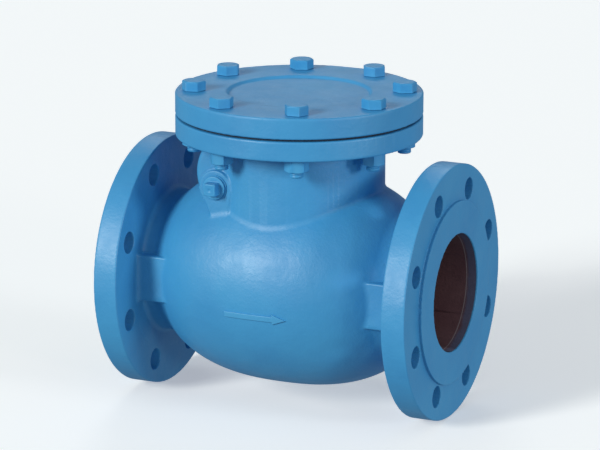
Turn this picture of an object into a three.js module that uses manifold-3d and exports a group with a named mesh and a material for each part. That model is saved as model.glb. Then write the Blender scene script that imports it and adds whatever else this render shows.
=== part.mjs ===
// Flanged swing check valve, nominal bore 100 mm, in millimetres.
// +X is the flow direction, +Z is up. The origin is where the pipe axis and
// the cover axis cross, at the middle of the body.
import * as THREE from 'three';
import { mergeVertices } from 'three/addons/utils/BufferGeometryUtils.js';
import Module from 'manifold-3d';

const wasm = await Module();
wasm.setup();

// ---- pipe flanges -------------------------------------------------------
const FACE_TO_FACE = 292;
const FLANGE_OD = 220;
const FLANGE_PCD = 180;
const FLANGE_HOLE_D = 19;
const FLANGE_T = 24;
const RAISED_FACE_D = 158;
const RAISED_FACE_H = 3;
const BORE_D = 102;
const NECK_D = 124;
const BOLT_COUNT = 8;
// ---- bulb ---------------------------------------------------------------
const BULB_HALF_LENGTH = 123;
const BULB_HALF_HEIGHT = 94.5;
const BULB_POWER = 2.45;
const BULB_SHIFT_X = -2;
const WALL = 9;
// ---- bonnet: neck of the body, its flange and the cover -------------------
const BONNET_NECK_D = 148;
const BONNET_BORE_D = 130;
const BONNET_OD = 212;
const BONNET_PCD = 180;
const BONNET_HOLE_D = 14;
const BODY_FLANGE_BOTTOM_Z = 125;
const BODY_FLANGE_TOP_Z = 142;
const GASKET_T = 2;
const COVER_T = 18;
const COVER_RECESS_D = 122;
const COVER_RECESS_DEPTH = 2.5;
const SPIGOT_H = 3;
// ---- M12 bonnet bolts -----------------------------------------------------
const BOLT_D = 12;
const BOLT_AF = 18;
const BOLT_HEAD_H = 8.5;
const BOLT_NUT_H = 11;
const BOLT_END = 5.5;
// ---- hinge ----------------------------------------------------------------
const PIN_X = -48.8;
const PIN_Z = 87;
const PIN_D = 14;
const PIN_HALF_LENGTH = 52;
const SEAT_TILT = THREE.MathUtils.degToRad(7);
const SEAT_OFFSET = 12;
const HOUSING = { x: -32, z: 98, r: 37, y: 62 };
const BOSS_R = 14.5;
const BOSS_Y = 66;
const BOSS_FOOT = { x: -44.5, half: 7, z: 57 };
const INNER_BOSS_R = 14;
const INNER_BOSS_Y = 31;
const HINGE_POCKET_R = 16;
// ---- side plug ------------------------------------------------------------
const PLUG_SQUARE = 10.5;
const PLUG_SQUARE_H = 8.5;
const PLUG_COLLAR_D = 20;
const PLUG_COLLAR_H = 1.8;
const PLUG_THREAD_D = 17;
const PLUG_THREAD_L = 14;
const PLUG_GASKET_T = 1.2;
// ---- seat, disc and arm ---------------------------------------------------
const SEAT_BORE_D = 96;
const SEAT_OD = 116;
const SEAT_L = 14;
const SEAT_PROUD = 6;
const DISC_D = 117;
const DISC_RIM_T = 9;
const DISC_HUB_T = 11;
const FACE_RING_ID = 94;
const FACE_RING_OD = 112;
const FACE_RING_T = 3;
const STUD_D = 16;
const STUD_END = 41;
const ARM_T = 10;
const ARM_HUB_R = 12;
const ARM_HUB_HALF = 30.5;
const WASHER_T = 2.5;
const WASHER_D = 30;
const DISC_NUT_AF = 24;
const DISC_NUT_H = 9;
const SPLIT_PIN_D = 3;
// ---- body details ---------------------------------------------------------
const LUG_HALF_Z = 20;
const LUG_Y = 69;
const ARROW = { x: 0.5, z: -14.5, length: 56, shaft: 5, head: 12, headHalf: 4.6, relief: 1.5 };
// ---- modelling ------------------------------------------------------------
const GAP = 0.3;
const ROUND = 48;
const SMALL_ROUND = 12;
const EPS = 0.5;

const BLUE = { color: 0x3f8cc4, roughness: 0.38, metalness: 0.0 };
const BRONZE = { color: 0xa9793f, roughness: 0.4, metalness: 0.85 };
const STEEL = { color: 0x8d9094, roughness: 0.35, metalness: 0.9 };
const RUBBER = { color: 0x1e2a3a, roughness: 0.8, metalness: 0.0 };
const IRON = { color: 0x5a3a34, roughness: 0.6, metalness: 0.2 };

// Keeps only positions, welds them, drops collapsed triangles and turns the
// faces outward.
function weld(geometry) {
  const bare = geometry.clone();
  Object.keys(bare.attributes).filter((n) => n !== 'position').forEach((n) => bare.deleteAttribute(n));
  const merged = mergeVertices(bare, 1e-3);
  const [p, source] = [merged.attributes.position, merged.index.array];
  const corner = [new THREE.Vector3(), new THREE.Vector3(), new THREE.Vector3()];
  const kept = [];
  let volume = 0;
  for (let i = 0; i < source.length; i += 3) {
    const [a, b, c] = source.slice(i, i + 3);
    if (a === b || b === c || c === a) continue;
    [a, b, c].forEach((v, k) => corner[k].fromBufferAttribute(p, v));
    volume += corner[0].dot(corner[1].cross(corner[2]));
    kept.push(a, b, c);
  }
  if (volume < 0) for (let i = 0; i < kept.length; i += 3) [kept[i], kept[i + 1]] = [kept[i + 1], kept[i]];
  return { vertProperties: new Float32Array(p.array), triVerts: new Uint32Array(kept) };
}

function solid(geometry) {
  return new wasm.Manifold(new wasm.Mesh({ numProp: 3, ...weld(geometry) }));
}

function toGeometry(manifold) {
  const mesh = manifold.getMesh();
  const geometry = new THREE.BufferGeometry();
  geometry.setAttribute('position', new THREE.BufferAttribute(mesh.vertProperties, 3));
  geometry.setIndex(new THREE.BufferAttribute(mesh.triVerts, 1));
  geometry.computeVertexNormals();
  return geometry;
}

const join = (first, ...rest) => rest.reduce((sum, s) => sum.add(s), first);
const cut = (first, ...rest) => rest.reduce((sum, s) => sum.subtract(s), first);

// Turned shape from [radius, height] points, along +Z, +X or +Y.
function turned(points, axis = 'z', segments = ROUND) {
  const geometry = new THREE.LatheGeometry(points.map(([r, h]) => new THREE.Vector2(r, h)), segments);
  if (axis === 'z') geometry.rotateX(Math.PI / 2);
  if (axis === 'x') geometry.rotateZ(-Math.PI / 2);
  return geometry;
}

const rod = (r, h0, h1, axis, segments) => turned([[0, h0], [r, h0], [r, h1], [0, h1]], axis, segments);

function ring(inner, outer, h0, h1, axis, segments) {
  return turned([[inner, h0], [outer, h0], [outer, h1], [inner, h1], [inner, h0]], axis, segments);
}

// Hexagonal prism with its top corners chamfered.
function hexagon(acrossFlats, h0, h1, axis, chamfer = 1.6) {
  const r = acrossFlats / Math.sqrt(3);
  return turned([[0, h0], [r, h0], [r, h1 - chamfer * 0.6], [r - chamfer, h1], [0, h1]], axis, 6);
}

const aroundCircle = (diameter, count, make) => Array.from({ length: count }, (_, k) => {
  const angle = (k + 0.5) * 2 * Math.PI / count;
  return make(diameter / 2 * Math.cos(angle), diameter / 2 * Math.sin(angle), k);
});

function material(look) {
  return new THREE.MeshStandardMaterial(look);
}

function addMesh(parent, name, geometry, look) {
  const mesh = new THREE.Mesh(geometry, material(look));
  mesh.name = name;
  parent.add(mesh);
  return mesh;
}

// ---- body -----------------------------------------------------------------
const bulbRadius = (u, a, b) => b * (1 - Math.abs(u / a) ** BULB_POWER) ** (1 / BULB_POWER);

// Bulb profile points as [radius, x] where the radius is at least `least`.
function bulbPoints(inset, least, steps) {
  const [a, b] = [BULB_HALF_LENGTH - inset, BULB_HALF_HEIGHT - inset];
  const end = a * (1 - (least / b) ** BULB_POWER) ** (1 / BULB_POWER);
  return Array.from({ length: steps + 1 }, (_, i) => {
    const u = end * Math.sin((i / steps - 0.5) * Math.PI);
    return [bulbRadius(u, a, b), u + BULB_SHIFT_X];
  });
}

function flangeEnd(side) {
  const [face, back] = [FACE_TO_FACE / 2, FACE_TO_FACE / 2 - FLANGE_T];
  const [rf, rim, neck] = [RAISED_FACE_D / 2, FLANGE_OD / 2, NECK_D / 2];
  const points = [[0, face], [rf, face], [rf, face - RAISED_FACE_H], [rim - 1.5, face - RAISED_FACE_H],
    [rim, face - RAISED_FACE_H - 1.5], [rim, back + 1.5], [rim - 1.5, back], [neck + 5, back], [neck, back - 5]];
  return side > 0 ? points.reverse() : points.map(([r, x]) => [r, -x]);
}

function bodyOutside() {
  const line = [...flangeEnd(-1), ...bulbPoints(0, NECK_D / 2, 16), ...flangeEnd(1)];
  const [neck, rim] = [BONNET_NECK_D / 2, BONNET_OD / 2];
  const bonnet = turned([[0, 30], [neck, 30], [neck, BODY_FLANGE_BOTTOM_Z - 6],
    [neck + 6, BODY_FLANGE_BOTTOM_Z], [rim - 2, BODY_FLANGE_BOTTOM_Z], [rim, BODY_FLANGE_BOTTOM_Z + 2],
    [rim, BODY_FLANGE_TOP_Z - 1], [rim - 1, BODY_FLANGE_TOP_Z], [0, BODY_FLANGE_TOP_Z]]);
  return join(solid(turned(line, 'x')), solid(bonnet), pinHousing(), ...sideLugs(), flowArrow());
}

// Round thickening of the bonnet neck that carries the hinge pin, with a flat
// front and back, and on each of them a boss round the pin on a short foot.
function pinHousing() {
  const slab = (shape, half, bevel) => new THREE.ExtrudeGeometry(shape, {
    depth: 2 * (half - bevel), curveSegments: 20, bevelEnabled: true,
    bevelThickness: bevel, bevelSize: bevel, bevelOffset: -bevel, bevelSegments: 2,
  }).rotateX(Math.PI / 2).translate(0, half - bevel, 0);
  const round = new THREE.Shape().absarc(HOUSING.x, HOUSING.z, HOUSING.r, 0, 2 * Math.PI);
  const belowFlange = new THREE.BoxGeometry(200, 200, 200).translate(0, 0, BODY_FLANGE_BOTTOM_Z - 99);
  const boss = new THREE.Shape();
  boss.absarc(PIN_X, PIN_Z, BOSS_R, Math.PI, 0, true);
  boss.lineTo(BOSS_FOOT.x + BOSS_FOOT.half, BOSS_FOOT.z);
  boss.lineTo(BOSS_FOOT.x - BOSS_FOOT.half, BOSS_FOOT.z);
  return join(solid(slab(round, HOUSING.y, 4)).intersect(solid(belowFlange)), solid(slab(boss, BOSS_Y, 1)));
}

function sideLugs() {
  const [inner, outer] = [86, FACE_TO_FACE / 2 - FLANGE_T + 1];
  return [[-1, -1], [-1, 1], [1, -1], [1, 1]].map(([sx, sy]) => {
    const box = new THREE.BoxGeometry(outer - inner, LUG_Y - 40, 2 * LUG_HALF_Z);
    return solid(box.translate(sx * (inner + outer) / 2, sy * (LUG_Y + 40) / 2, 0));
  });
}

// Cast arrow pointing downstream, standing proud of the bulb.
function flowArrow() {
  const [tail, neck, tip] = [0, ARROW.length - ARROW.head, ARROW.length].map((x) => x - ARROW.length / 2);
  const half = ARROW.shaft / 2;
  const outline = [[tail, -half], [neck, -half], [neck, -ARROW.headHalf], [tip, 0],
    [neck, ARROW.headHalf], [neck, half], [tail, half]];
  const shape = new THREE.Shape(outline.map(([x, z]) => new THREE.Vector2(x + ARROW.x, z + ARROW.z)));
  const slab = new THREE.ExtrudeGeometry(shape, { depth: 40, bevelEnabled: false });
  slab.rotateX(Math.PI / 2).translate(0, -70, 0);
  const shell = turned([[0, -60], ...bulbPoints(-ARROW.relief, 40, 30).filter(([, x]) => Math.abs(x) < 60),
    [0, 60]], 'x');
  return solid(slab).intersect(solid(shell));
}

// Frame of the closed disc: local x is the seat normal, local z runs up to
// the pin, and the origin is on the pin axis.
const hingeMatrix = new THREE.Matrix4().makeRotationY(-SEAT_TILT).setPosition(PIN_X, 0, PIN_Z);
const SEAT_DROP = (PIN_Z - SEAT_OFFSET * Math.sin(SEAT_TILT)) / Math.cos(SEAT_TILT);
const onSeat = (geometry) => geometry.translate(-SEAT_OFFSET, 0, -SEAT_DROP).applyMatrix4(hingeMatrix);

function bodyInside() {
  const far = new THREE.BoxGeometry(400, 400, 400).translate(200 - SEAT_PROUD, 0, 0);
  const chamber = solid(turned([[0, -105], ...bulbPoints(WALL, BORE_D / 2, 12), [0, 101]], 'x'));
  const bonnet = solid(rod(BONNET_BORE_D / 2, 20, BODY_FLANGE_TOP_Z + EPS, 'z'));
  const downstream = join(chamber, bonnet).intersect(solid(onSeat(far)));
  const end = FACE_TO_FACE / 2 + EPS;
  return join(downstream, solid(rod(BORE_D / 2, -end, PIN_X - 6, 'x')),
    solid(rod(BORE_D / 2, 60, end, 'x')),
    solid(rod(HINGE_POCKET_R, -INNER_BOSS_Y, INNER_BOSS_Y, 'y', 24).translate(PIN_X, 0, PIN_Z)),
    solid(onSeat(rod(SEAT_OD / 2 + GAP, -SEAT_L - GAP, EPS, 'x'))));
}

function innerPinBosses() {
  return [-1, 1].map((side) => {
    const ends = [side * INNER_BOSS_Y, side * (PIN_HALF_LENGTH + 3)].sort((p, q) => p - q);
    return solid(rod(INNER_BOSS_R, ...ends, 'y', 24).translate(PIN_X, 0, PIN_Z));
  });
}

function makeBody() {
  const pinHole = rod(PIN_D / 2 + GAP, -BOSS_Y - EPS, PIN_HALF_LENGTH + EPS, 'y', 16);
  const depth = PLUG_THREAD_L - PLUG_GASKET_T + 1;
  const plugHole = rod(PLUG_THREAD_D / 2 + GAP, -BOSS_Y - EPS, -BOSS_Y + depth, 'y', 16);
  const end = FACE_TO_FACE / 2 + EPS;
  const pipeHoles = [-1, 1].flatMap((side) => aroundCircle(FLANGE_PCD, BOLT_COUNT, (y, z) => {
    const span = [side * (end - FLANGE_T - 1), side * end].sort((p, q) => p - q);
    return solid(rod(FLANGE_HOLE_D / 2, ...span, 'x', SMALL_ROUND).translate(0, y, z));
  }));
  return cut(join(cut(bodyOutside(), bodyInside()), ...innerPinBosses()),
    solid(pinHole.translate(PIN_X, 0, PIN_Z)), solid(plugHole.translate(PIN_X, 0, PIN_Z)),
    ...pipeHoles, ...bonnetHoles(BODY_FLANGE_BOTTOM_Z - EPS, BODY_FLANGE_TOP_Z + EPS));
}

const bonnetHoles = (z0, z1) => aroundCircle(BONNET_PCD, BOLT_COUNT, (x, y) => (
  solid(rod(BONNET_HOLE_D / 2, z0, z1, 'z', SMALL_ROUND).translate(x, y, 0))));

// ---- cover and its fasteners ------------------------------------------------
const COVER_Z = BODY_FLANGE_TOP_Z + GASKET_T;
const TOP_Z = COVER_Z + COVER_T;

function makeCover() {
  const [rim, spigot, recess] = [BONNET_OD / 2, BONNET_BORE_D / 2 - 0.6, COVER_RECESS_D / 2];
  const profile = [[0, COVER_Z - SPIGOT_H], [spigot, COVER_Z - SPIGOT_H], [spigot, COVER_Z],
    [rim - 1, COVER_Z], [rim, COVER_Z + 1], [rim, TOP_Z - 2], [rim - 0.6, TOP_Z - 0.6], [rim - 2, TOP_Z],
    [recess + 1, TOP_Z], [recess - 1, TOP_Z - COVER_RECESS_DEPTH], [0, TOP_Z - COVER_RECESS_DEPTH]];
  return cut(solid(turned(profile)), ...bonnetHoles(COVER_Z - EPS, TOP_Z + EPS));
}

function makeGasket() {
  const sheet = ring(BONNET_BORE_D / 2, BONNET_OD / 2 - 3, BODY_FLANGE_TOP_Z + GAP / 2, COVER_Z - GAP / 2);
  return cut(solid(sheet), ...bonnetHoles(BODY_FLANGE_TOP_Z - EPS, COVER_Z + EPS));
}

function makeBolt() {
  const foot = BODY_FLANGE_BOTTOM_Z - BOLT_NUT_H - BOLT_END;
  const shank = turned([[0, foot], [BOLT_D / 2 - 1, foot], [BOLT_D / 2, foot + 1],
    [BOLT_D / 2, TOP_Z + 1], [0, TOP_Z + 1]], 'z', SMALL_ROUND);
  return join(solid(hexagon(BOLT_AF, TOP_Z + GAP, TOP_Z + GAP + BOLT_HEAD_H, 'z')), solid(shank));
}

function makeNut() {
  const top = BODY_FLANGE_BOTTOM_Z - GAP;
  const nut = hexagon(BOLT_AF, 0, BOLT_NUT_H, 'z').rotateX(Math.PI).translate(0, 0, top);
  return cut(solid(nut), solid(rod(BOLT_D / 2 + GAP, top - BOLT_NUT_H - 1, top + 1, 'z', SMALL_ROUND)));
}

// ---- side plug --------------------------------------------------------------
const plugFace = -BOSS_Y - PLUG_GASKET_T;

function makePlug() {
  const square = new THREE.BoxGeometry(PLUG_SQUARE, PLUG_SQUARE_H + 1, PLUG_SQUARE);
  square.translate(0, plugFace - PLUG_COLLAR_H - PLUG_SQUARE_H / 2 + EPS, 0);
  const collar = turned([[0, plugFace - PLUG_COLLAR_H], [PLUG_COLLAR_D / 2 - 0.8, plugFace - PLUG_COLLAR_H],
    [PLUG_COLLAR_D / 2, plugFace - PLUG_COLLAR_H + 0.8], [PLUG_COLLAR_D / 2, plugFace], [0, plugFace]], 'y', 24);
  const thread = rod(PLUG_THREAD_D / 2, plugFace - 1, plugFace + PLUG_THREAD_L, 'y', 16);
  return join(solid(square), solid(collar), solid(thread));
}

// ---- disc assembly, in the frame of the closed disc --------------------------
function makeDisc() {
  const [rim, outer, inner] = [DISC_D / 2, FACE_RING_OD / 2 + GAP, FACE_RING_ID / 2 - GAP];
  const ringBack = GAP + FACE_RING_T + GAP;
  const profile = [[0, 1], [inner, 1], [inner, ringBack], [outer, ringBack], [outer, 1.5], [rim - 1, 1.5],
    [rim, 2.5], [rim, DISC_RIM_T - 1], [rim - 1, DISC_RIM_T], [rim - 6, DISC_RIM_T], [rim - 10, DISC_RIM_T - 2.5],
    [22, DISC_RIM_T - 2.5], [18, DISC_HUB_T], [STUD_D / 2, DISC_HUB_T], [STUD_D / 2, STUD_END - 1.5],
    [STUD_D / 2 - 1.5, STUD_END], [0, STUD_END]];
  const hole = rod(SPLIT_PIN_D / 2 + GAP, -STUD_D, STUD_D, 'y', 8).translate(SPLIT_PIN_X, 0, 0);
  return cut(solid(turned(profile, 'x')), solid(hole));
}

const ARM_BACK = DISC_HUB_T + GAP;
const WASHER_BACK = ARM_BACK + ARM_T + GAP;
const NUT_BACK = WASHER_BACK + WASHER_T + GAP;
const SPLIT_PIN_X = NUT_BACK + DISC_NUT_H + 2.4;

function makeArm() {
  const [wide, narrow, eye] = [ARM_HUB_HALF - 3, 13, 16];
  const shape = new THREE.Shape();
  shape.moveTo(wide, 0);
  shape.lineTo(wide, -6);
  shape.lineTo(narrow, -SEAT_DROP / 2);
  shape.absarc(0, -SEAT_DROP, eye, Math.PI / 6, Math.PI * 5 / 6, true);
  shape.lineTo(-narrow, -SEAT_DROP / 2);
  shape.lineTo(-wide, -6);
  shape.lineTo(-wide, 0);
  const plate = new THREE.ExtrudeGeometry(shape, { depth: ARM_T, curveSegments: 24, bevelEnabled: false });
  const toSeatFrame = new THREE.Matrix4().makeBasis(
    new THREE.Vector3(0, 1, 0), new THREE.Vector3(0, 0, 1), new THREE.Vector3(1, 0, 0));
  plate.applyMatrix4(toSeatFrame).translate(ARM_BACK - SEAT_OFFSET, 0, 0);
  const rib = new THREE.BoxGeometry(8, 8, SEAT_DROP - 22).translate(ARM_BACK + ARM_T + 3 - SEAT_OFFSET, 0,
    -(SEAT_DROP - 22) / 2 - 4);
  return cut(join(solid(plate), solid(rib), solid(rod(ARM_HUB_R, -ARM_HUB_HALF, ARM_HUB_HALF, 'y', 32))),
    solid(rod(PIN_D / 2 + GAP, -ARM_HUB_HALF - 1, ARM_HUB_HALF + 1, 'y', 24)),
    solid(rod(STUD_D / 2 + GAP, -SEAT_OFFSET, SEAT_OFFSET + ARM_T, 'x', 24).translate(0, 0, -SEAT_DROP)));
}

function makeDiscNut() {
  const nut = solid(hexagon(DISC_NUT_AF, NUT_BACK, NUT_BACK + DISC_NUT_H, 'x'));
  return cut(nut, solid(rod(STUD_D / 2 + GAP, NUT_BACK - 1, NUT_BACK + DISC_NUT_H + 1, 'x', 24)));
}

// Wire with an eye at one end and a bent tail at the other.
function makeSplitPin() {
  const [r, reach] = [SPLIT_PIN_D / 2, STUD_D / 2 + 3];
  const path = new THREE.CurvePath();
  const [eye, bend, tail] = [[-reach, 0], [reach, 0], [reach + 4, 5]].map(
    ([y, z]) => new THREE.Vector3(SPLIT_PIN_X, y, z));
  path.add(new THREE.LineCurve3(eye, bend));
  path.add(new THREE.QuadraticBezierCurve3(bend, bend.clone().add(new THREE.Vector3(0, 4, 0)), tail));
  const circle = new THREE.Shape().absarc(0, 0, r, 0, 2 * Math.PI);
  const wire = new THREE.ExtrudeGeometry(circle, { steps: 12, curveSegments: 4, extrudePath: path });
  const loop = new THREE.TorusGeometry(3.4, r, 8, 16).rotateY(Math.PI / 2).translate(SPLIT_PIN_X, -reach - 3, 0);
  return join(solid(wire), solid(loop));
}

// ---- assembly ----------------------------------------------------------------
const valve = new THREE.Group();

addMesh(valve, 'valve_body', toGeometry(makeBody()), BLUE);
addMesh(valve, 'bonnet_gasket', toGeometry(makeGasket()), RUBBER);
addMesh(valve, 'bonnet_cover', toGeometry(makeCover()), BLUE);
aroundCircle(BONNET_PCD, BOLT_COUNT, (x, y, k) => {
  const bolt = addMesh(valve, `bonnet_bolt_${k + 1}`, toGeometry(makeBolt()), BLUE);
  const nut = addMesh(valve, `bonnet_nut_${k + 1}`, toGeometry(makeNut()), BLUE);
  [bolt, nut].forEach((piece, i) => {
    piece.position.set(x, y, 0);
    piece.rotation.z = (k + i) * Math.PI / 7;
  });
});
const plug = addMesh(valve, 'side_plug', toGeometry(makePlug()), BLUE);
plug.position.set(PIN_X, 0, PIN_Z);
const washer = ring(PLUG_THREAD_D / 2 + GAP, PLUG_COLLAR_D / 2 + 1, plugFace + GAP, -BOSS_Y - GAP, 'y', 24);
addMesh(valve, 'side_plug_gasket', toGeometry(solid(washer)), RUBBER).position.set(PIN_X, 0, PIN_Z);
const pin = rod(PIN_D / 2, -PIN_HALF_LENGTH, PIN_HALF_LENGTH, 'y', 24);
addMesh(valve, 'hinge_pin', toGeometry(solid(pin)), STEEL).position.set(PIN_X, 0, PIN_Z);

const flap = new THREE.Group();
flap.position.set(PIN_X, 0, PIN_Z);
flap.rotation.y = -SEAT_TILT;
valve.add(flap);
addMesh(flap, 'hinge_arm', toGeometry(makeArm()), IRON);

const seat = new THREE.Group();
seat.position.set(-SEAT_OFFSET, 0, -SEAT_DROP);
flap.add(seat);
const seatProfile = [[SEAT_BORE_D / 2, -SEAT_L], [SEAT_OD / 2, -SEAT_L], [SEAT_OD / 2, -2],
  [FACE_RING_OD / 2 - 1, 0], [SEAT_BORE_D / 2 + 1, 0], [SEAT_BORE_D / 2, -1], [SEAT_BORE_D / 2, -SEAT_L]];
addMesh(seat, 'seat_ring', toGeometry(solid(turned(seatProfile, 'x'))), BRONZE);
addMesh(seat, 'disc', toGeometry(makeDisc()), IRON);
const faceRing = ring(FACE_RING_ID / 2, FACE_RING_OD / 2, GAP, GAP + FACE_RING_T, 'x');
addMesh(seat, 'disc_face_ring', toGeometry(solid(faceRing)), BRONZE);
const discWasher = ring(STUD_D / 2 + GAP, WASHER_D / 2, WASHER_BACK, WASHER_BACK + WASHER_T, 'x', 24);
addMesh(seat, 'disc_washer', toGeometry(solid(discWasher)), STEEL);
addMesh(seat, 'disc_nut', toGeometry(makeDiscNut()), STEEL);
addMesh(seat, 'split_pin', toGeometry(makeSplitPin()), STEEL);

export default valve;
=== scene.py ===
import math

import bpy
import numpy as np
from mathutils import Matrix, Vector


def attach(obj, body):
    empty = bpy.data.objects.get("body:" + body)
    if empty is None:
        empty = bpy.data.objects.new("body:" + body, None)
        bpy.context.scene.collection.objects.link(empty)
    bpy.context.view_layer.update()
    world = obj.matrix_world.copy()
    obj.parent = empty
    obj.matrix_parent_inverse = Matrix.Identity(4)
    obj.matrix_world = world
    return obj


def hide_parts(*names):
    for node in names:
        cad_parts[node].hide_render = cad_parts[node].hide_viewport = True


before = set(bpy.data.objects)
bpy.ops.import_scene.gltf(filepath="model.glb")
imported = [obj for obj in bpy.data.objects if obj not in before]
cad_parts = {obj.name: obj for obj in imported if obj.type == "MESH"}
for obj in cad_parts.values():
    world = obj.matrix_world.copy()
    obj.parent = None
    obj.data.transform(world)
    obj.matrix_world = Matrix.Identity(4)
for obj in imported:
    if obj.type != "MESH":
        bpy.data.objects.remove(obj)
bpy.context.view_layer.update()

MM = 0.001

# ---- sizes in millimetres, as in the CAD model ---------------------------
FACE, FLANGE_BACK, FLANGE_RIM = 146.0, 122.0, 110.0
RAISED_R, RAISED_H, BORE_R, PIPE_NECK_R = 79.0, 3.0, 51.0, 62.0
FLANGE_PCD_R, FLANGE_HOLE_R = 90.0, 9.5
BULB_A, BULB_B, BULB_POWER, BULB_X, WALL = 123.0, 94.5, 2.45, -2.0, 9.0
BONNET_NECK_R, BONNET_BORE_R, BONNET_R = 74.0, 65.0, 106.0
BONNET_PCD_R, BONNET_HOLE_R = 90.0, 7.0
BODY_FLANGE_Z0, BODY_FLANGE_Z1, COVER_Z0, COVER_Z1 = 125.0, 142.0, 144.0, 162.0
RECESS_R, RECESS_DEPTH, SPIGOT_R, SPIGOT_H = 61.0, 2.5, 64.4, 3.0
PIN_X, PIN_Z, PIN_R, PIN_HALF = -48.8, 87.0, 7.0, 52.0
HOUSING_X, HOUSING_Z, HOUSING_R, HOUSING_Y = -32.0, 98.0, 37.0, 62.0
BOSS_R, BOSS_Y = 14.5, 66.0
FOOT_X, FOOT_HALF, FOOT_Z = -44.5, 7.0, 57.0
PLUG_GASKET, PLUG_COLLAR, PLUG_SQUARE_HALF, PLUG_SQUARE_H = 1.2, 1.8, 5.25, 8.5
NUT_H, BOLT_FOOT_Z = 11.0, 108.5
ARROW_X, ARROW_Z, ARROW_HALF, ARROW_RELIEF = 0.5, -14.5, 28.0, 1.5
LUG_Z, LUG_Y, LUG_X = 20.0, 69.0, 86.0
TILT = math.radians(7)
SEAT_OFFSET = 12.0
SEAT_DROP = (PIN_Z - SEAT_OFFSET * math.sin(TILT)) / math.cos(TILT)
SEAT_N = np.array([math.cos(TILT), 0, math.sin(TILT)])
SEAT_T = np.array([-math.sin(TILT), 0, math.cos(TILT)])
PIN = np.array([PIN_X, 0, PIN_Z])
SEAT_C = PIN - SEAT_OFFSET * SEAT_N - SEAT_DROP * SEAT_T


# ---- distance functions ----------------------------------------------------
def near(a, b, r):
    """Union of two distances with a fillet of radius r between them."""
    return np.maximum(r, np.minimum(a, b)) - np.hypot(np.maximum(r - a, 0), np.maximum(r - b, 0))


def both(a, b, r):
    """Intersection of two distances with the edge rounded to radius r."""
    return -near(-a, -b, r)


def without(a, b, r):
    return -near(-a, b, r)


def rect(u, v, u0, u1, v0, v1, r=0.0):
    """Rectangle from (u0, v0) to (u1, v1) in a plane, corners rounded."""
    p = np.abs(u - (u0 + u1) / 2) - (u1 - u0) / 2 + r
    q = np.abs(v - (v0 + v1) / 2) - (v1 - v0) / 2 + r
    return np.minimum(np.maximum(p, q), 0) + np.hypot(np.maximum(p, 0), np.maximum(q, 0)) - r


def drum(radial, axial, r, a0, a1, rounding=0.0):
    """Solid disc or rod of radius r between a0 and a1 on its axis."""
    return rect(radial, axial, -r, r, a0, a1, rounding)


def block(x, y, z, lo, hi, r):
    p = [np.abs(w - (a + b) / 2) - (b - a) / 2 + r for w, a, b in zip((x, y, z), lo, hi)]
    outside = np.sqrt(sum(np.maximum(w, 0) ** 2 for w in p))
    return outside + np.minimum(np.maximum(np.maximum(p[0], p[1]), p[2]), 0) - r


def fold(u, v, count):
    """Turns a ring of `count` features, half a step off the u axis, into one on the u axis."""
    step = 2 * math.pi / count
    angle = np.mod(np.arctan2(v, u), step) - step / 2
    r = np.hypot(u, v)
    return r * np.cos(angle), r * np.sin(angle)


def bulb(x, radial, inset):
    a, b = BULB_A - inset, BULB_B - inset
    u, v = np.abs(x - BULB_X) / a + 1e-6, radial / b + 1e-6
    s = (u ** BULB_POWER + v ** BULB_POWER) ** (1 / BULB_POWER)
    slope = np.hypot((u / s) ** (BULB_POWER - 1) / a, (v / s) ** (BULB_POWER - 1) / b)
    return (s - 1) / slope


def seat_frame(x, y, z):
    """Distance along the seat's axis, and across it."""
    dx, dz = x - SEAT_C[0], z - SEAT_C[2]
    along = dx * SEAT_N[0] + dz * SEAT_N[2]
    up = dx * SEAT_T[0] + dz * SEAT_T[2]
    return along, y, up


def arrow_outline(x, z):
    """Flat outline of the flow arrow: a shaft and a head pointing along +X."""
    u, v = x - ARROW_X, np.abs(z - ARROW_Z)
    shaft = rect(u, v, -ARROW_HALF, ARROW_HALF - 11, -2.5, 2.5)
    head = np.maximum((u - ARROW_HALF) * 0.358 + v * 0.934, ARROW_HALF - 12 - u)
    return np.minimum(shaft, head)


def arrow(x, y, z):
    """Cast flow arrow, from just under the bulb's surface to its relief height."""
    shell = bulb(x, np.hypot(y, z), 0)
    mark = both(arrow_outline(x, z), shell - ARROW_RELIEF, 0.6)
    return np.maximum(mark, -1.5 - shell)


def pin_housing(x, y, z):
    """Round thickening of the bonnet neck, and on its faces a boss round the pin on a short foot."""
    px, pz = x - PIN_X, z - PIN_Z
    swell = both(np.hypot(x - HOUSING_X, z - HOUSING_Z) - HOUSING_R, np.abs(y) - HOUSING_Y, 4.5)
    swell = np.maximum(swell, z - BODY_FLANGE_Z0 - 1)
    rise = (z - FOOT_Z) / (PIN_Z - FOOT_Z)
    foot = np.abs(x - FOOT_X - (PIN_X - FOOT_X) * rise) - FOOT_HALF - (BOSS_R - FOOT_HALF) * rise
    outline = near(np.hypot(px, pz) - BOSS_R, np.maximum(foot * 0.96, pz + 2), 3.0)
    boss = both(outline, np.abs(y) - BOSS_Y, 1.2)
    return near(swell, boss, 1.2)


def body_outside(x, y, z):
    r, ax = np.hypot(y, z), np.abs(x)
    rz = np.hypot(x, y)
    shell = bulb(x, r, 0)
    pipe = near(drum(r, x, PIPE_NECK_R, -125, 125), shell, 6.0)
    neck = drum(rz, z, BONNET_NECK_R, 0, 130)
    bonnet = near(neck, drum(rz, z, BONNET_R, BODY_FLANGE_Z0, BODY_FLANGE_Z1, 1.4), 4.0)
    main = near(pipe, bonnet, 2.2)
    main = near(main, pin_housing(x, y, z), 2.5)
    lug = block(ax, np.abs(y), z, (LUG_X, 30, -LUG_Z), (FLANGE_BACK + 2, LUG_Y, LUG_Z), 1.2)
    main = near(main, lug, 1.5)
    flange = drum(r, ax, FLANGE_RIM, FLANGE_BACK, FACE - RAISED_H, 1.2)
    main = near(main, flange, 5.0)
    raised = drum(r, ax, RAISED_R, FLANGE_BACK, FACE, 0.5)
    return near(main, raised, 0.6)


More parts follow.
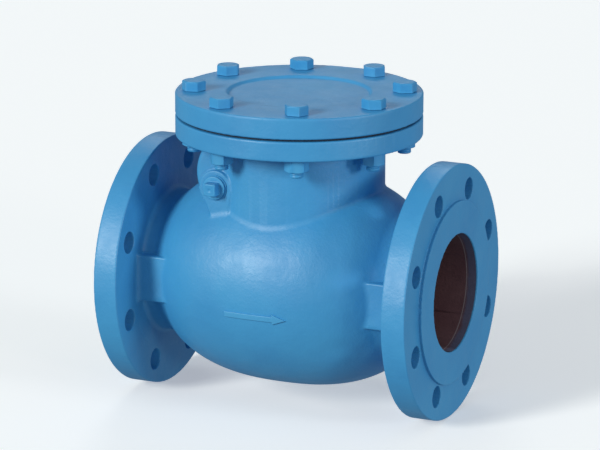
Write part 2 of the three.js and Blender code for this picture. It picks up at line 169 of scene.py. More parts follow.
def body_inside(x, y, z):
    r, rz = np.hypot(y, z), np.hypot(x, y)
    along, across, up = seat_frame(x, y, z)
    px, pz = x - PIN_X, z - PIN_Z
    chamber = both(near(bulb(x, r, WALL), drum(rz, z, BONNET_BORE_R, 20, 150), 3.0), -6.0 - along, 2.0)
    pocket = drum(np.hypot(px, pz), y, 16.0, -31, 31)
    bores = np.minimum(drum(r, x, BORE_R, -160, PIN_X - 6), drum(r, x, BORE_R, 60, 160))
    counter = drum(np.hypot(across, up), along, 58.3, -14.3, 0.5)
    return np.minimum(np.minimum(near(chamber, pocket, 2.0), bores), counter)


def body(x, y, z):
    ax = np.abs(x)
    pin_r = np.hypot(x - PIN_X, z - PIN_Z)
    solid = without(body_outside(x, y, z), body_inside(x, y, z), 0.8)
    inner_boss = drum(pin_r, np.abs(y), 14.0, 31, PIN_HALF + 3, 0.6)
    solid = near(solid, inner_boss, 2.0)
    solid = without(solid, drum(pin_r, y, PIN_R + 0.3, -BOSS_Y - 1, PIN_HALF + 0.5), 0.5)
    solid = without(solid, drum(pin_r, y, 8.8, -90, -BOSS_Y + 13.8), 0.6)
    u, v = fold(z, y, 8)
    solid = without(solid, np.maximum(np.hypot(u - FLANGE_PCD_R, v) - FLANGE_HOLE_R, 116 - ax), 0.6)
    u, v = fold(x, y, 8)
    bolt_holes = np.maximum(np.hypot(u - BONNET_PCD_R, v) - BONNET_HOLE_R, 120 - z)
    return without(solid, bolt_holes, 0.4)


def cover(x, y, z):
    r = np.hypot(x, y)
    plate = drum(r, z, BONNET_R, COVER_Z0, COVER_Z1, 1.4)
    plate = np.minimum(plate, drum(r, z, SPIGOT_R, COVER_Z0 - SPIGOT_H, COVER_Z0 + 2, 0.5))
    slope = (r - RECESS_R) * 0.78 - (z - COVER_Z1 + RECESS_DEPTH / 2) * 0.62
    recess = both(slope, COVER_Z1 - RECESS_DEPTH - z, 0.8)
    plate = without(plate, recess, 0.8)
    u, v = fold(x, y, 8)
    return without(plate, np.hypot(u - BONNET_PCD_R, v) - BONNET_HOLE_R, 0.5)


def hinge_rod(x, y, z):
    r = np.hypot(x - PIN_X, z - PIN_Z)
    rod = drum(r, y, PIN_R, -PIN_HALF, PIN_HALF)
    chamfer = (r - 6) * 0.7 + (np.abs(y) - PIN_HALF) * 0.7
    return both(rod, chamfer, 0.2)


def hexagon(u, v):
    """Distance across a hexagon of unit half width, less that half width."""
    u, v = np.abs(u), np.abs(v)
    return np.maximum(u, u * 0.5 + v * math.sqrt(3) / 2)


def hex_head(u, v, w, flats, w0, w1, ends=1):
    """Hex prism from w0 to w1, its corners turned off at 30 degrees on one end or both."""
    half = flats / 2
    side = hexagon(u, v) - half
    prism = both(side, np.maximum(w0 - w, w - w1), 0.35)
    top = (np.hypot(u, v) - half * 0.97) * 0.5 + (w - w1) * 0.866
    prism = both(prism, top, 0.25)
    if ends == 2:
        prism = both(prism, (np.hypot(u, v) - half * 0.97) * 0.5 + (w0 - w) * 0.866, 0.25)
    return prism


def thread(u, v, w, r, pitch, depth):
    """Rod of radius r with a rolled screw thread."""
    turn = np.mod(w / pitch - np.arctan2(v, u) / (2 * math.pi), 1.0)
    return np.hypot(u, v) - r + depth * np.abs(2 * turn - 1)


def bolt(x, y, z):
    r = np.hypot(x, y)
    head = hex_head(x, y, z, 18.0, COVER_Z1 + 0.3, COVER_Z1 + 8.8)
    shank = both(r - 6.0, np.maximum(BOLT_FOOT_Z - z, z - COVER_Z1 - 2), 0.5)
    cut = np.maximum(thread(x, y, z, 6.0, 1.75, 0.45), z - 126)
    shank = np.where(z < 126, np.maximum(shank, cut), shank)
    shank = np.maximum(shank, (r - 5.2) * 0.7 + (BOLT_FOOT_Z - z) * 0.7)
    return near(head, shank, 0.4)


def nut(x, y, z):
    top = BODY_FLANGE_Z0 - 0.3
    return without(hex_head(x, y, z, 18.0, top - NUT_H, top, 2), np.hypot(x, y) - 6.3, 0.5)


def plug(x, y, z):
    r, face = np.hypot(x, z), -BOSS_Y - PLUG_GASKET
    half, end = PLUG_SQUARE_HALF, face - PLUG_COLLAR - PLUG_SQUARE_H
    square = block(x, y, z, (-half, end, -half), (half, face, half), 0.8)
    square = both(square, (r - 6.1) * 0.6 + (end - y) * 0.8, 0.5)
    collar = drum(r, y, 10.0, face - PLUG_COLLAR, face, 0.6)
    shank = both(thread(x, z, y, 8.5, 1.8, 0.5), np.maximum(face - 1 - y, y - face - 14), 0.5)
    head = near(square, collar, 0.8)
    head = without(head, np.sqrt(r * r + (y - end + 1.8) ** 2) - 2.4, 0.4)
    return np.minimum(head, shank)


def disc(x, y, z):
    w, across, up = seat_frame(x, y, z)
    r = np.hypot(across, up)
    plate = drum(r, w, 58.5, 1.5, 9.0, 1.2)
    plate = np.minimum(plate, drum(r, w, 46.7, 1.0, 5.0, 0.3))
    dish = both(np.abs(r - 36.0) - 13.0, 6.5 - w, 2.0)
    plate = without(plate, dish, 1.5)
    u, v = fold(across, up, 6)
    rib = both(np.abs(v) - 2.6, np.maximum(np.abs(w - 5.5) - 3.3, np.abs(u - 32) - 22), 1.2)
    plate = near(plate, rib, 2.0)
    hub = drum(r, w, 18.0, 3.0, 11.0, 0.8)
    plate = near(plate, hub, 2.5)
    groove = rect(r, w, 46.7, 56.3, -1.0, 3.6)
    plate = without(plate, groove, 0.2)
    stud = drum(r, w, 8.0, 5.0, 41.0, 1.0)
    cut = thread(across, up, w, 8.0, 2.0, 0.5)
    stud = np.where(w > 24, np.maximum(stud, cut), stud)
    shape = near(plate, stud, 0.6)
    px = w - SPLIT_PIN_W
    return without(shape, np.hypot(px, up) - 1.8, 0.3)


ARM_W0, ARM_W1 = 11.3, 21.3
WASHER_W0 = ARM_W1 + 0.3
NUT_W0 = WASHER_W0 + 2.8
SPLIT_PIN_W = NUT_W0 + 9.0 + 2.4


def arm(x, y, z):
    w, across, up = seat_frame(x, y, z)
    drop = SEAT_DROP - up
    pin_r = np.hypot(w - SEAT_OFFSET, SEAT_DROP - up)
    t = np.clip((drop - 6) / (SEAT_DROP / 2 - 6), 0, 1)
    half = 27.5 + (13.0 - 27.5) * t
    side = (np.abs(across) - half) * 0.94
    web = np.maximum(side, np.maximum(-drop, drop - SEAT_DROP))
    outline = near(web, np.hypot(across, up) - 16.0, 6.0)
    plate = both(outline, np.maximum(ARM_W0 - w, w - ARM_W1), 1.5)
    rib = block(w, across, drop, (ARM_W0 + 2, -4, 2), (ARM_W1 + 7, 4, SEAT_DROP - 18), 1.5)
    slope = (w - ARM_W1 - 7) * 0.96 + (drop - 34) * 0.28
    plate = near(plate, both(rib, slope, 2.0), 3.0)
    hub = drum(pin_r, across, 12.0, -30.5, 30.5, 1.0)
    shape = near(plate, hub, 5.0)
    shape = without(shape, pin_r - PIN_R - 0.3, 0.5)
    return without(shape, np.maximum(np.hypot(across, up) - 8.3, np.abs(w - 16) - 20), 0.5)


def disc_nut(x, y, z):
    w, across, up = seat_frame(x, y, z)
    return without(hex_head(across, up, w, 24.0, NUT_W0, NUT_W0 + 9.0, 2), np.hypot(across, up) - 8.3, 0.6)


def split_pin(x, y, z):
    w, across, up = seat_frame(x, y, z)
    w = w - SPLIT_PIN_W
    legs = np.full_like(x, 1e3)
    for side in (-1, 1):
        v = up - side * 0.75
        straight = np.maximum(np.hypot(v, w) - 0.72, np.abs(across) - 11)
        bend = np.hypot(np.hypot(across - 11, up - side * 3.0) - 2.25, w) - 0.72
        bend = np.maximum(bend, np.maximum(11 - across, side * (up - side * 3.0)))
        tail = np.hypot(np.hypot(across - 13.25, w), np.maximum(np.abs(up - side * 4.5) - 1.5, 0)) - 0.72
        legs = np.minimum(legs, np.minimum(straight, np.minimum(bend, tail)))
    eye = np.hypot(np.hypot(across + 13.6, up) - 2.9, w) - 0.75
    return np.minimum(legs, eye)


# ---- turning a distance function into a mesh ---------------------------------
BLOCK = 4
CHUNK = 400_000


def sample(sdf, points):
    out = np.empty(len(points))
    for i in range(0, len(points), CHUNK):
        part = points[i:i + CHUNK]
        out[i:i + CHUNK] = sdf(part[:, 0], part[:, 1], part[:, 2])
    return out


def gradient(sdf, points, step=0.04):
    """Unit normals of the distance function, from four samples each."""
    total = np.zeros_like(points)
    for corner in ((1, -1, -1), (-1, -1, 1), (-1, 1, -1), (1, 1, 1)):
        corner = np.array(corner, float)
        total += corner * sample(sdf, points + corner * step)[:, None]
    return total / np.maximum(np.linalg.norm(total, axis=1), 1e-9)[:, None]


def spread(values):
    """Repeats each block's value for every cell in the block."""
    for axis in range(3):
        values = np.repeat(values, BLOCK, axis)
    return values


def grid_values(sdf, lo, hi, h):
    """Samples on a grid, exact near the surface and coarse elsewhere."""
    blocks = [math.ceil((b - a) / (h * BLOCK)) for a, b in zip(lo, hi)]
    axes = [a + h * BLOCK * np.arange(n + 1) for a, n in zip(lo, blocks)]
    nodes = np.stack(np.meshgrid(*axes, indexing="ij"), -1).reshape(-1, 3)
    coarse = sample(sdf, nodes).reshape([n + 1 for n in blocks])
    close = np.abs(coarse) < h * BLOCK * 2.2
    active = np.zeros(blocks, bool)
    for dx in (0, 1):
        for dy in (0, 1):
            for dz in (0, 1):
                active |= close[dx:dx + blocks[0], dy:dy + blocks[1], dz:dz + blocks[2]]
    values = spread(coarse[:-1, :-1, :-1])
    mask = spread(active)
    index = np.argwhere(mask)
    values[mask] = sample(sdf, np.asarray(lo) + h * index)
    return values


def crossings(sdf, values, lo, h, axis):
    """Grid edges along one axis that the surface crosses, with point, normal and direction."""
    head = [slice(None)] * 3
    tail = [slice(None)] * 3
    head[axis], tail[axis] = slice(None, -1), slice(1, None)
    d0, d1 = values[tuple(head)], values[tuple(tail)]
    index = np.argwhere((d0 < 0) != (d1 < 0))
    pick = tuple(index.T)
    d0, d1 = d0[pick], d1[pick]
    t0, t1 = np.zeros(len(d0)), np.ones(len(d0))
    start = np.asarray(lo) + h * index
    unit = np.zeros(3)
    unit[axis] = h
    rising = d1 > d0
    for _ in range(3):
        t = t0 + (t1 - t0) * d0 / (d0 - d1)
        d = sample(sdf, start + t[:, None] * unit)
        low = (d < 0) == (d0 < 0)
        t0, d0 = np.where(low, t, t0), np.where(low, d, d0)
        t1, d1 = np.where(low, t1, t), np.where(low, d1, d)
        same = np.abs(d0 - d1) < 1e-9
        d1 = np.where(same, d1 + 1e-6, d1)
    t = t0 + (t1 - t0) * np.clip(d0 / (d0 - d1), 0, 1)
    points = start + t[:, None] * unit
    return index, points, gradient(sdf, points), rising


def surface(sdf, lo, hi, h):
    """Dual contouring: one vertex per cell at the best fit to the planes found in it."""
    lo, hi = np.asarray(lo, float) - 2.37 * h, np.asarray(hi, float) + 2.11 * h
    values = grid_values(sdf, lo, hi, h)
    shape = np.array(values.shape)
    strides = np.array([shape[1] * shape[2], shape[2], 1])
    cells, points, normals, faces = [], [], [], []
    for axis in range(3):
        b, c = (axis + 1) % 3, (axis + 2) % 3
        index, p, n, rising = crossings(sdf, values, lo, h, axis)
        corner = []
        for db, dc in ((1, 1), (0, 1), (0, 0), (1, 0)):
            cell = index.copy()
            cell[:, b] -= db
            cell[:, c] -= dc
            corner.append(cell @ strides)
        quad = np.stack(corner, 1)
        faces.append(np.where(rising[:, None], quad, quad[:, ::-1]))
        for ids in corner:
            cells.append(ids)
            points.append(p)
            normals.append(n)
    cells, points, normals = np.concatenate(cells), np.concatenate(points), np.concatenate(normals)
    faces = np.concatenate(faces)
    unique, slot = np.unique(cells, return_inverse=True)
    count = np.bincount(slot)
    mass = np.stack([np.bincount(slot, points[:, k]) for k in range(3)], 1) / count[:, None]
    offset = np.einsum("ij,ij->i", normals, points - mass[slot])
    ata = np.empty((len(unique), 3, 3))
    atb = np.empty((len(unique), 3))
    for i in range(3):
        atb[:, i] = np.bincount(slot, normals[:, i] * offset)
        for j in range(3):
            ata[:, i, j] = np.bincount(slot, normals[:, i] * normals[:, j])
    ata += np.eye(3) * 0.06 * count[:, None, None]
    best = mass + np.linalg.solve(ata, atb[:, :, None])[:, :, 0]
    cell_lo = lo + h * np.stack(np.unravel_index(unique, shape), 1)
    best = np.clip(best, cell_lo - 0.02 * h, cell_lo + 1.02 * h)
    return best, np.searchsorted(unique, faces)


def loop_normals(sdf, mesh):
    """Normals read from the distance function; at a crease each face keeps its own side."""
    n_loops, n_verts, n_polys = len(mesh.loops), len(mesh.vertices), len(mesh.polygons)
    co = np.empty(n_verts * 3)
    mesh.vertices.foreach_get("co", co)
    co = co.reshape(-1, 3) / MM
    vert = np.empty(n_loops, np.int64)
    mesh.loops.foreach_get("vertex_index", vert)
    total = np.empty(n_polys, np.int64)
    mesh.polygons.foreach_get("loop_total", total)
    flat = np.empty(n_polys * 3)
    mesh.polygons.foreach_get("normal", flat)
    centre = np.empty(n_polys * 3)
    mesh.polygons.foreach_get("center", centre)
    face = np.repeat(np.arange(n_polys), total)
    flat, centre = flat.reshape(-1, 3)[face], centre.reshape(-1, 3)[face] / MM
    smooth = gradient(sdf, co)
    normal = smooth[vert]
    off = np.einsum("ij,ij->i", normal, flat) < math.cos(math.radians(22))
    where = np.flatnonzero(off)
    base = co[vert[where]]
    moved = base + (centre[where] - base) * 0.35
    own = gradient(sdf, moved)
    bad = np.einsum("ij,ij->i", own, flat[where]) < math.cos(math.radians(35))
    own[bad] = flat[where][bad]
    normal[where] = own
    return normal, co, smooth


def mesh_from(name, verts, faces):
    mesh = bpy.data.meshes.new(name)
    size = faces.shape[1]
    mesh.vertices.add(len(verts))
    mesh.vertices.foreach_set("co", (verts * MM).astype(np.float32).ravel())
    mesh.loops.add(faces.size)
    mesh.loops.foreach_set("vertex_index", faces.astype(np.int32).ravel())
    mesh.polygons.add(len(faces))
    mesh.polygons.foreach_set("loop_start", np.arange(0, faces.size, size, dtype=np.int32))
    mesh.update(calc_edges=True)
    mesh.validate()
    return mesh


def link(obj):
    bpy.context.scene.collection.objects.link(obj)
    return obj


def thin(obj, target):
    """Collapses edges on flat stretches until about `target` triangles are left."""
    triangles = len(obj.data.polygons) * 2
    if triangles <= target:
        return
    modifier = obj.modifiers.new("thin", "DECIMATE")
    modifier.ratio = target / triangles
    bpy.context.view_layer.update()
    evaluated = obj.evaluated_get(bpy.context.evaluated_depsgraph_get())
    mesh = bpy.data.meshes.new_from_object(evaluated)
    obj.modifiers.clear()
    old, obj.data = obj.data, mesh
    name = old.name
    bpy.data.meshes.remove(old)
    mesh.name = name


def carve(name, sdf, lo, hi, h, target):
    """A named object whose surface is sdf = 0, shaded with the function's own normals."""
    verts, faces = surface(sdf, lo, hi, h)
    obj = link(bpy.data.objects.new(name, mesh_from(name, verts, faces)))
    thin(obj, target)
    mesh = obj.data
    mesh.polygons.foreach_set("use_smooth", np.ones(len(mesh.polygons), bool))
    normal, co, smooth = loop_normals(sdf, mesh)
    mesh.normals_split_custom_set(normal.tolist())
    # How enclosed each point is; the cast paint uses it to paint shade into creases and hollows
    crease_shade = 1 - np.clip(sample(sdf, co + smooth * 5.0) / 5.0, 0, 1)
    edge = 1 - np.clip(-sample(sdf, co - smooth * 2.5) / 2.5, 0, 1)
    for key, values in (("crease_shade", crease_shade), ("edge", edge)):
        layer = mesh.attributes.new(key, "FLOAT", "POINT")
        layer.data.foreach_set("value", values.astype(np.float32))
    return obj


def turned(name, profile, origin, axis, segments=144):
    """Machined ring: a closed profile of (radius, height) points, turned about an axis."""
    turn = Vector((0, 0, 1)).rotation_difference(Vector(axis)).to_matrix()
    n = len(profile)
    verts, faces = [], []
    for k in range(segments):
        a = 2 * math.pi * k / segments
        verts += [turn @ Vector((r * math.cos(a), r * math.sin(a), w)) + Vector(origin) for r, w in profile]
        here, there = k * n, (k + 1) % segments * n
        faces += [(here + i, there + i, there + (i + 1) % n, here + (i + 1) % n) for i in range(n)]
    mesh = mesh_from(name, np.array(verts), np.array(faces))
    mesh.shade_smooth()
    mesh.set_sharp_from_angle(angle=math.radians(35))
    return link(bpy.data.objects.new(name, mesh))


# ---- materials ---------------------------------------------------------------
class Nodes:
    """Short way to build a Principled material's node tree."""

    def __init__(self, name):
        self.material = bpy.data.materials.new(name)
        self.material.use_nodes = True
        self.tree = self.material.node_tree
        self.shader = self.tree.nodes["Principled BSDF"]
        self.place = self.node("ShaderNodeTexCoord").outputs["Object"]

    def node(self, kind, **values):
        node = self.tree.nodes.new(kind)
        for key, value in values.items():
            setattr(node, key, value)
        return node

    def wire(self, source, target):
        self.tree.links.new(source, target)

    def set(self, **values):
        for key, value in values.items():
            self.shader.inputs[key.replace("_", " ")].default_value = value

    def noise(self, scale, detail=3.0, roughness=0.55):
        node = self.node("ShaderNodeTexNoise")
        self.wire(self.place, node.inputs["Vector"])
        for key, value in (("Scale", scale), ("Detail", detail), ("Roughness", roughness)):
            node.inputs[key].default_value = value
        return node.outputs["Fac"]

    def along_x(self):
        node = self.node("ShaderNodeSeparateXYZ")
        self.wire(self.place, node.inputs[0])
        return node.outputs["X"]

    def attribute(self, name):
        return self.node("ShaderNodeAttribute", attribute_name=name).outputs["Fac"]

    def remap(self, value, low, high, to_low, to_high):
        node = self.node("ShaderNodeMapRange")
        self.wire(value, node.inputs["Value"])
        for key, number in zip(("From Min", "From Max", "To Min", "To Max"), (low, high, to_low, to_high)):
            node.inputs[key].default_value = number
        return node.outputs["Result"]

    def math(self, operation, a, b=None):
        node = self.node("ShaderNodeMath", operation=operation)
        for socket, value in zip(node.inputs, (a, b)):
            if isinstance(value, (int, float)):
                socket.default_value = value
            elif value is not None:
                self.wire(value, socket)
        return node.outputs[0]

    def mix(self, factor, a, b):
        node = self.node("ShaderNodeMix", data_type="RGBA")
        self.wire(factor, node.inputs["Factor"])
        for socket, value in ((node.inputs[6], a), (node.inputs[7], b)):
            if isinstance(value, tuple):
                socket.default_value = (*value, 1)
            else:
                self.wire(value, socket)
        return node.outputs[2]

    def bump(self, height, distance, strength=1.0, under=None):
        node = self.node("ShaderNodeBump")
        node.inputs["Distance"].default_value = distance
        node.inputs["Strength"].default_value = strength
        self.wire(height, node.inputs["Height"])
        if under is not None:
            self.wire(under, node.inputs["Normal"])
        return node.outputs["Normal"]

    def finish(self, color, roughness, normal):
        self.wire(color, self.shader.inputs["Base Color"])
        self.wire(roughness, self.shader.inputs["Roughness"])
        self.wire(normal, self.shader.inputs["Normal"])
        return self.material


BLUE = (0.056, 0.330, 0.630)
BLUE_DEEP = (0.045, 0.285, 0.585)
BLUE_WORN = (0.095, 0.410, 0.700)
# painted shade: the darker blue laid into creases and hollows
BLUE_CREASE_SHADE = (0.036, 0.195, 0.430)
OVERSPRAY_GREY = (0.120, 0.132, 0.215)
PALE_LINE = (0.36, 0.31, 0.33)
OVERSPRAY_FROM, MOUTH_FROM = 0.1358, 0.1444      # distances from the middle of the valve, metres


def cast_paint():
    n = Nodes("cast_paint")
    n.set(Metallic=0.0, Specular_IOR_Level=0.68, IOR=1.45)
    color = n.mix(n.remap(n.noise(14, 4), 0.35, 0.68, 0, 1), BLUE, BLUE_DEEP)
    # painted shade: darker blue mixed in where the surface is enclosed, in creases and hollows
    color = n.mix(n.remap(n.attribute("crease_shade"), 0.25, 0.9, 0, 0.6), color, BLUE_CREASE_SHADE)
    color = n.mix(n.remap(n.attribute("edge"), 0.35, 0.9, 0, 0.45), color, BLUE_WORN)
    roughness = n.remap(n.noise(60, 3), 0.3, 0.7, 0.40, 0.52)
    waves = n.bump(n.noise(45, 3), 0.0011, 0.7)
    grain = n.bump(n.noise(420, 4, 0.65), 0.00028, 0.75, waves)
    return n.finish(color, roughness, grain)


def fastener_paint():
    n = Nodes("fastener_paint")
    n.set(Metallic=0.0, Specular_IOR_Level=0.45, IOR=1.45)
    color = n.mix(n.remap(n.noise(90, 3), 0.35, 0.68, 0, 1), BLUE, BLUE_DEEP)
    color = n.mix(n.remap(n.attribute("edge"), 0.3, 0.9, 0, 0.5), color, BLUE_WORN)
    roughness = n.remap(n.noise(200, 3), 0.3, 0.7, 0.34, 0.48)
    grain = n.bump(n.noise(500, 3), 0.00015, 0.6)
    return n.finish(color, roughness, grain)


def lining():
    """Dark red-brown inside the casting, greyed by overspray near the two mouths."""
    n = Nodes("lining")
    n.set(Metallic=0.0, IOR=1.45)
    color = n.mix(n.remap(n.noise(30, 4), 0.3, 0.7, 0, 1), (0.122, 0.056, 0.066), (0.180, 0.092, 0.098))
    along = n.math("ABSOLUTE", n.along_x())
    ragged = n.math("ADD", along, n.remap(n.noise(40, 4), 0.3, 0.7, -0.0016, 0.0016))
    sprayed = n.remap(ragged, OVERSPRAY_FROM, OVERSPRAY_FROM + 0.003, 0, 0.85)
    color = n.mix(sprayed, color, OVERSPRAY_GREY)
    off_line = n.math("ABSOLUTE", n.math("SUBTRACT", along, OVERSPRAY_FROM))
    color = n.mix(n.remap(off_line, 0.0002, 0.0007, 0.7, 0), color, PALE_LINE)
    color = n.mix(n.remap(along, MOUTH_FROM, MOUTH_FROM + 0.0004, 0, 1), color, BLUE)
    roughness = n.remap(n.noise(80, 3), 0.3, 0.7, 0.5, 0.68)
    grain = n.bump(n.noise(300, 4, 0.65), 0.0004, 0.7)
    return n.finish(color, roughness, grain)


def iron():
    n = Nodes("iron")
    n.set(Metallic=0.0, IOR=1.45)
    color = n.mix(n.remap(n.noise(50, 4), 0.3, 0.7, 0, 1), (0.085, 0.035, 0.028), (0.055, 0.024, 0.020))
    color = n.mix(n.remap(n.attribute("edge"), 0.35, 0.9, 0, 0.5), color, (0.13, 0.07, 0.055))
    roughness = n.remap(n.noise(120, 3), 0.3, 0.7, 0.45, 0.65)
    grain = n.bump(n.noise(350, 4, 0.65), 0.0003, 0.7)
    return n.finish(color, roughness, grain)


def machined(name, light, dark, rough):
    n = Nodes(name)
    n.set(Metallic=1.0)
    color = n.mix(n.remap(n.noise(120, 4), 0.35, 0.7, 0, 1), light, dark)
    roughness = n.remap(n.noise(250, 3), 0.3, 0.7, rough, rough + 0.14)
    normal = n.bump(n.noise(900, 2), 0.00006, 0.6)
    return n.finish(color, roughness, normal)


def gasket_sheet():
    n = Nodes("gasket_sheet")
    n.set(Metallic=0.0, IOR=1.5)
    color = n.mix(n.remap(n.noise(300, 3), 0.3, 0.7, 0, 1), (0.010, 0.022, 0.045), (0.018, 0.036, 0.065))
    roughness = n.remap(n.noise(400, 2), 0.3, 0.7, 0.7, 0.9)
    return n.finish(color, roughness, n.bump(n.noise(900, 2), 0.00015, 0.7))


# ---- pieces --------------------------------------------------------------------
def dress(obj, material, slot, body, *nodes):
    obj.data.materials.append(material)
    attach(obj, body)
    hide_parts(*nodes)
    return obj


def line_inside(obj, material):
    """Gives the faces on the water side the lining."""
    mesh = obj.data
    mesh.materials.append(material)
    centre = np.empty(len(mesh.polygons) * 3)
    mesh.polygons.foreach_get("center", centre)
    centre = centre.reshape(-1, 3) / MM
    wet = sample(body_inside, centre) < 0.7
    wet &= np.abs(centre[:, 0]) < FACE - 0.2
    wet &= centre[:, 2] < BODY_FLANGE_Z1 - 0.5
    mesh.polygons.foreach_set("material_index", wet.astype(np.int32))


def copies(source, name, count, body, node):
    """Linked copies of a bolt or nut round the bonnet, each turned its own way."""
    for k in range(count):
        angle = (k + 0.5) * 2 * math.pi / count
        spin = (k + (0 if node == "bonnet_bolt" else 1)) * math.pi / 7
        mesh = source.copy()
        mesh.name = f"{name}_{k + 1}"
        x, y = BONNET_PCD_R * MM * math.cos(angle), BONNET_PCD_R * MM * math.sin(angle)
        place = Matrix.Translation((x, y, 0))
        obj = link(bpy.data.objects.new(mesh.name, mesh))
        obj.matrix_world = place @ Matrix.Rotation(spin, 4, "Z")
        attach(obj, body)
        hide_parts(f"{node}_{k + 1}")


# Profiles of the turned rings, as (radius, height along the axis).
SEAL_PROFILE = [(8.9, 0.1), (10.8, 0.1), (11.1, 0.35), (11.1, 0.85), (10.8, 1.1), (8.9, 1.1)]
SHEET_PROFILE = [(65.0, 142.15), (102.6, 142.15), (103.0, 142.5),
                 (103.0, 143.5), (102.6, 143.85), (65.0, 143.85)]
SEAT_PROFILE = [(48.0, -14.0), (58.0, -14.0), (58.0, -2.5), (57.2, -1.7),
                (55.6, 0.0), (49.0, 0.0), (48.0, -1.0)]
RING_PROFILE = [(47.0, 0.6), (47.3, 0.3), (55.7, 0.3), (56.0, 0.6), (56.0, 3.3), (47.0, 3.3)]
WASHER_PROFILE = [(8.3, 0.3), (8.6, 0.0), (14.6, 0.0), (15.0, 0.4),
                  (15.0, 2.1), (14.6, 2.5), (8.6, 2.5), (8.3, 2.2)]

QUICK = 1.0
PAINT, BOLT_PAINT, LINING, IRON = cast_paint(), fastener_paint(), lining(), iron()
BRONZE = machined("bronze", (0.50, 0.35, 0.18), (0.38, 0.25, 0.12), 0.30)
STEEL = machined("steel", (0.56, 0.57, 0.58), (0.44, 0.45, 0.47), 0.26)
SHEET = gasket_sheet()

casting = carve("body_casting", body, (-146, -110, -110), (146, 110, 142), 1.35 * QUICK, 190_000)
dress(casting, PAINT, "cast_paint", "casing", "valve_body")
line_inside(casting, LINING)
mark = carve("flow_arrow", arrow, (-29, -97, -22), (30, -88, -8), 0.55 * QUICK, 12_000)
dress(mark, PAINT, "cast_paint", "casing", "valve_body")
lid = carve("cover_casting", cover, (-106, -106, 141), (106, 106, 162), 1.5 * QUICK, 50_000)
dress(lid, PAINT, "cast_paint", "casing", "bonnet_cover")

sample_bolt = carve("sample_bolt", bolt, (-10.5, -10.5, 107.5), (10.5, 10.5, 171), 0.7 * QUICK, 9_000)
sample_bolt.data.materials.append(BOLT_PAINT)
copies(sample_bolt.data, "hex_bolt", 8, "casing", "bonnet_bolt")
sample_nut = carve("sample_nut", nut, (-10.5, -10.5, 113), (10.5, 10.5, 125), 0.7 * QUICK, 4_000)
sample_nut.data.materials.append(BOLT_PAINT)
copies(sample_nut.data, "hex_nut", 8, "casing", "bonnet_nut")
for leftover in (sample_bolt, sample_nut):
    bpy.data.objects.remove(leftover)


def at_pin(sdf):
    return lambda x, y, z: sdf(x - PIN_X, y, z - PIN_Z)


stopper = carve("square_plug", at_pin(plug), (PIN_X - 10, -78, PIN_Z - 10), (PIN_X + 10, -52, PIN_Z + 10),
                0.55 * QUICK, 16_000)
dress(stopper, BOLT_PAINT, "fastener_paint", "casing", "side_plug")
seal = turned("plug_seal", SEAL_PROFILE, (PIN_X, -BOSS_Y - PLUG_GASKET, PIN_Z), (0, 1, 0), 64)
dress(seal, BOLT_PAINT, "gasket", "casing", "side_plug_gasket")
sheet = turned("cover_gasket", SHEET_PROFILE, (0, 0, 0), (0, 0, 1))
dress(sheet, SHEET, "gasket", "casing", "bonnet_gasket")
spindle = carve("spindle", hinge_rod, (PIN_X - 7, -PIN_HALF, PIN_Z - 7),
                (PIN_X + 7, PIN_HALF, PIN_Z + 7), 0.8 * QUICK, 9_000)
dress(spindle, STEEL, "steel", "casing", "hinge_pin")

seat = turned("seat_bronze", SEAT_PROFILE, SEAT_C, SEAT_N)
dress(seat, BRONZE, "bronze", "casing", "seat_ring")
face = turned("face_bronze", RING_PROFILE, SEAT_C, SEAT_N)
dress(face, BRONZE, "bronze", "flap_disc", "disc_face_ring")
washer = turned("stud_washer", WASHER_PROFILE, SEAT_C + WASHER_W0 * SEAT_N, SEAT_N, 64)
dress(washer, STEEL, "steel", "flap_disc", "disc_washer")

flap = carve("flap_plate", disc, (-58, -59, -59), (-2, 59, 59), 1.3 * QUICK, 50_000)
dress(flap, IRON, "iron", "flap_disc", "disc")
lever = carve("flap_arm_casting", arm, (-64, -31, -16), (-18, 31, 99), 1.2 * QUICK, 36_000)
dress(lever, IRON, "iron", "flap_arm", "hinge_arm")
hexnut = carve("stud_nut", disc_nut, (-30, -15, -12), (-10, 15, 20), 0.7 * QUICK, 8_000)
dress(hexnut, STEEL, "steel", "flap_disc", "disc_nut")
cotter = carve("cotter", split_pin, (-20, -18, -4), (-8, 17, 14), 0.45 * QUICK, 10_000)
dress(cotter, STEEL, "steel", "flap_disc", "split_pin")


# ---- floor, light and camera -----------------------------------------------------
FLOOR_HALF, FLOOR_Z = 9.0, -0.1102      # metres


def floor():
    """Plain pale floor, out of the valve's diffuse and glossy rays as in a photo on white."""
    mesh = bpy.data.meshes.new("floor")
    s, z = FLOOR_HALF, FLOOR_Z
    mesh.from_pydata([(-s, -s, z), (s, -s, z), (s, s, z), (-s, s, z)], [], [(0, 1, 2, 3)])
    n = Nodes("floor_paint")
    n.set(Base_Color=(0.9, 0.9, 0.9, 1), Roughness=0.7, Specular_IOR_Level=0.1)
    n.set(Emission_Color=(1.0, 0.97, 0.93, 1), Emission_Strength=0.34)
    mesh.materials.append(n.material)
    plane = link(bpy.data.objects.new("floor", mesh))
    plane.visible_diffuse = False
    plane.visible_glossy = False


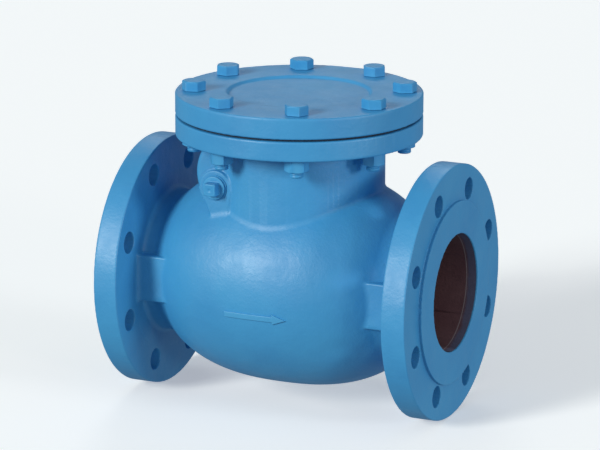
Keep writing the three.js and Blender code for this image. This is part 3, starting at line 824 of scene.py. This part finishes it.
# The photo's camera: angles, then distance and aim offsets in millimetres from the origin.
AZIMUTH, ELEVATION, ROLL = math.radians(23.848), math.radians(14.971), math.radians(0.141)
DISTANCE, FOCUS_PER_WIDTH = 2955.9, 5.6926
SHIFT_RIGHT, SHIFT_UP = 0.974, 41.943
BACK = Vector((math.sin(AZIMUTH) * math.cos(ELEVATION),
               -math.cos(AZIMUTH) * math.cos(ELEVATION),
               math.sin(ELEVATION)))
FLAT_RIGHT = Vector((math.cos(AZIMUTH), math.sin(AZIMUTH), 0))
FLAT_UP = BACK.cross(FLAT_RIGHT)
RIGHT = math.cos(ROLL) * FLAT_RIGHT + math.sin(ROLL) * FLAT_UP
UP = -math.sin(ROLL) * FLAT_RIGHT + math.cos(ROLL) * FLAT_UP


def camera():
    data = bpy.data.cameras.new("camera")
    data.sensor_width = 36.0
    data.lens = FOCUS_PER_WIDTH * data.sensor_width
    data.clip_start, data.clip_end = 0.1, 50
    cam = link(bpy.data.objects.new("camera", data))
    place = (BACK * DISTANCE + RIGHT * SHIFT_RIGHT + UP * SHIFT_UP) * MM
    cam.matrix_world = Matrix.Translation(place) @ Matrix((RIGHT, UP, BACK)).transposed().to_4x4()
    bpy.context.scene.camera = cam


SUNS = {                     # compass angle from the camera, height angle, strength, width, colour
    "key": (-49, 19, 1.62, 14, (0.97, 1.0, 0.93)),
    "key_high": (-50, 28, 0.72, 10, (1.0, 0.98, 0.92)),
    "right": (60, 12, 0.86, 12, (1.0, 1.0, 1.0)),
    "right_low": (35, 10, 0.36, 10, (1.0, 0.80, 0.70)),
    "behind": (180, 35, 0.30, 20, (0.94, 0.98, 1.0)),
}


SKY_COLOR, SKY_STRENGTH = (0.68, 0.85, 1.0, 1), 0.32


def light():
    toward_camera = Vector((math.sin(AZIMUTH), -math.cos(AZIMUTH), 0))
    for name, (compass, height, strength, width, color) in SUNS.items():
        compass, height = math.radians(compass), math.radians(height)
        level = FLAT_RIGHT * math.sin(compass) + toward_camera * math.cos(compass)
        direction = level * math.cos(height) + Vector((0, 0, 1)) * math.sin(height)
        data = bpy.data.lights.new(name, "SUN")
        data.energy, data.angle, data.color = strength, math.radians(width), color
        sun = link(bpy.data.objects.new(name, data))
        sun.matrix_world = direction.to_track_quat("Z", "Y").to_matrix().to_4x4()
    world = bpy.data.worlds.new("world")
    world.use_nodes = True
    background = world.node_tree.nodes["Background"]
    background.inputs["Color"].default_value = SKY_COLOR
    background.inputs["Strength"].default_value = SKY_STRENGTH
    bpy.context.scene.world = world
    bpy.context.scene.view_settings.view_transform = "Standard"


floor()
camera()
light()
